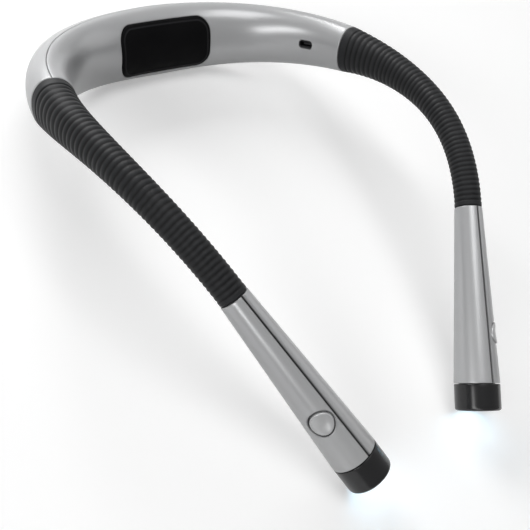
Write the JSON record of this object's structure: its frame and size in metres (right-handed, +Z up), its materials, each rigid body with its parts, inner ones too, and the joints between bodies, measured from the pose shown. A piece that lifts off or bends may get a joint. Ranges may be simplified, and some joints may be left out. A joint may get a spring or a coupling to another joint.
{
  "type": "neck reading light",
  "caption": "Hands-free reading light worn round the neck: stiff silver band, bendable ribbed arms and tapered lamp heads with push buttons.",
  "frame": {"origin": "on the level that the light stands on, under the middle of its box", "axes": "+X to the wearer's left when worn, +Y from the lamps to the back of the neck band, +Z up from the level that the light stands on"},
  "size_m": [0.1684, 0.2386, 0.061],
  "materials": {
    "silver": "satin silver paint on moulded plastic",
    "button": "satin silver paint on moulded plastic",
    "sleeve": "matt moulded ribbed rubber",
    "pad": "matt soft rubber with fine ribs",
    "cap": "polished black plastic",
    "lens": "clear lens, lit cool white",
    "reflector": "vacuum-plated cup",
    "board": "solder-masked circuit board",
    "emitter": "phosphor-coated light source",
    "core": "glass-filled nylon",
    "cell": "foil pouch",
    "steel": "bright steel",
    "lead": "insulated wire"
  },
  "bodies": {
    "band": {"band_outer_shell": "silver", "band_inner_shell": "silver", "neck_pad": "pad", "battery_cell": "cell", "control_board": "board", "charge_socket": "steel", "right_band_screw": "steel", "left_band_screw": "steel", "battery_lead": "lead", "right_arm_lead": "lead", "left_arm_lead": "lead", "right_arm_root": "core", "left_arm_root": "core", "right_sleeve_stretch_1": "sleeve", "left_sleeve_stretch_1": "sleeve"},
    "right_link_1": {"right_core_link_1": "core", "right_sleeve_stretch_2": "sleeve"},
    "right_link_2": {"right_core_link_2": "core", "right_sleeve_stretch_3": "sleeve"},
    "right_link_3": {"right_core_link_3": "core", "right_sleeve_stretch_4": "sleeve"},
    "right_link_4": {"right_core_link_4": "core", "right_sleeve_stretch_5": "sleeve"},
    "right_link_5": {"right_core_link_5": "core", "right_sleeve_stretch_6": "sleeve"},
    "right_head": {"right_head_link": "core", "right_head_button_shell": "silver", "right_head_plain_shell": "silver", "right_switch_board": "board", "right_tact_switch": "steel", "right_lamp_cap": "cap", "right_lens": "lens", "right_reflector": "reflector", "right_led_board": "board", "right_led_emitter": "emitter"},
    "right_button": {"right_button": "button"},
    "left_link_1": {"left_core_link_1": "core", "left_sleeve_stretch_2": "sleeve"},
    "left_link_2": {"left_core_link_2": "core", "left_sleeve_stretch_3": "sleeve"},
    "left_link_3": {"left_core_link_3": "core", "left_sleeve_stretch_4": "sleeve"},
    "left_link_4": {"left_core_link_4": "core", "left_sleeve_stretch_5": "sleeve"},
    "left_link_5": {"left_core_link_5": "core", "left_sleeve_stretch_6": "sleeve"},
    "left_head": {"left_head_link": "core", "left_head_button_shell": "silver", "left_head_plain_shell": "silver", "left_switch_board": "board", "left_tact_switch": "steel", "left_lamp_cap": "cap", "left_lens": "lens", "left_reflector": "reflector", "left_led_board": "board", "left_led_emitter": "emitter"},
    "left_button": {"left_button": "button"}
  },
  "joints": [
    {"name": "right_yaw_1", "type": "hinge", "parent": "band", "child": "right_link_1", "pos_m": [0.07685, 0.04663, 0.04277], "axis": [0.0098, 0.3283, 0.9445], "range_deg": [-4.5, 19], "deforming": ["right_sleeve_stretch_1", "right_arm_lead"]},
    {"name": "right_pitch_1", "type": "hinge", "parent": "right_link_1", "child": "right_link_2", "pos_m": [0.07711, 0.02574, 0.05002], "axis": [0.995, -0.094, 0.0331], "range_deg": [-18, 18], "deforming": ["right_sleeve_stretch_2", "right_arm_lead"]},
    {"name": "right_yaw_2", "type": "hinge", "parent": "right_link_2", "child": "right_link_3", "pos_m": [0.07512, 0.0062, 0.0543], "axis": [-0.0578, 0.0621, 0.9964], "range_deg": [-4.5, 19], "deforming": ["right_sleeve_stretch_3", "right_arm_lead"]},
    {"name": "right_pitch_2", "type": "hinge", "parent": "right_link_3", "child": "right_link_4", "pos_m": [0.07157, -0.01169, 0.05521], "axis": [0.9496, -0.2941, 0.1087], "range_deg": [-18, 18], "deforming": ["right_sleeve_stretch_4", "right_arm_lead"]},
    {"name": "right_yaw_3", "type": "hinge", "parent": "right_link_4", "child": "right_link_5", "pos_m": [0.06697, -0.02746, 0.05282], "axis": [-0.2555, -0.2203, 0.9414], "range_deg": [-4.5, 19], "deforming": ["right_sleeve_stretch_5", "right_arm_lead"]},
    {"name": "right_pitch_3", "type": "hinge", "parent": "right_link_5", "child": "right_head", "pos_m": [0.062, -0.04102, 0.0483], "axis": [0.8353, -0.4966, 0.2359], "range_deg": [-18, 18], "deforming": ["right_sleeve_stretch_6", "right_arm_lead"]},
    {"name": "right_button_press", "type": "slide", "parent": "right_head", "child": "right_button", "axis": [-0.6423, 0.5667, -0.516], "range_m": [0, 0.0006], "stiffness_N_per_m": 500, "springref_m": -0.0006},
    {"name": "left_yaw_1", "type": "hinge", "parent": "band", "child": "left_link_1", "pos_m": [-0.07685, 0.04663, 0.04277], "axis": [-0.0098, 0.3283, 0.9445], "range_deg": [-19, 4.5], "deforming": ["left_sleeve_stretch_1", "left_arm_lead"]},
    {"name": "left_pitch_1", "type": "hinge", "parent": "left_link_1", "child": "left_link_2", "pos_m": [-0.07711, 0.02574, 0.05002], "axis": [0.995, 0.094, -0.0331], "range_deg": [-18, 18], "deforming": ["left_sleeve_stretch_2", "left_arm_lead"]},
    {"name": "left_yaw_2", "type": "hinge", "parent": "left_link_2", "child": "left_link_3", "pos_m": [-0.07512, 0.0062, 0.0543], "axis": [0.0578, 0.0621, 0.9964], "range_deg": [-19, 4.5], "deforming": ["left_sleeve_stretch_3", "left_arm_lead"]},
    {"name": "left_pitch_2", "type": "hinge", "parent": "left_link_3", "child": "left_link_4", "pos_m": [-0.07157, -0.01169, 0.05521], "axis": [0.9496, 0.2941, -0.1087], "range_deg": [-18, 18], "deforming": ["left_sleeve_stretch_4", "left_arm_lead"]},
    {"name": "left_yaw_3", "type": "hinge", "parent": "left_link_4", "child": "left_link_5", "pos_m": [-0.06697, -0.02746, 0.05282], "axis": [0.2555, -0.2203, 0.9414], "range_deg": [-19, 4.5], "deforming": ["left_sleeve_stretch_5", "left_arm_lead"]},
    {"name": "left_pitch_3", "type": "hinge", "parent": "left_link_5", "child": "left_head", "pos_m": [-0.062, -0.04102, 0.0483], "axis": [0.8353, 0.4966, -0.2359], "range_deg": [-18, 18], "deforming": ["left_sleeve_stretch_6", "left_arm_lead"]},
    {"name": "left_button_press", "type": "slide", "parent": "left_head", "child": "left_button", "axis": [0.6423, 0.5667, -0.516], "range_m": [0, 0.0006], "stiffness_N_per_m": 500, "springref_m": -0.0006}
  ],
  "couplings": [
    {"joint": "right_yaw_2", "follows": "right_yaw_1", "ratio": 1},
    {"joint": "right_pitch_2", "follows": "right_pitch_1", "ratio": 1},
    {"joint": "right_yaw_3", "follows": "right_yaw_1", "ratio": 1},
    {"joint": "right_pitch_3", "follows": "right_pitch_1", "ratio": 1},
    {"joint": "left_yaw_2", "follows": "left_yaw_1", "ratio": 1},
    {"joint": "left_pitch_2", "follows": "left_pitch_1", "ratio": 1},
    {"joint": "left_yaw_3", "follows": "left_yaw_1", "ratio": 1},
    {"joint": "left_pitch_3", "follows": "left_pitch_1", "ratio": 1}
  ]
}
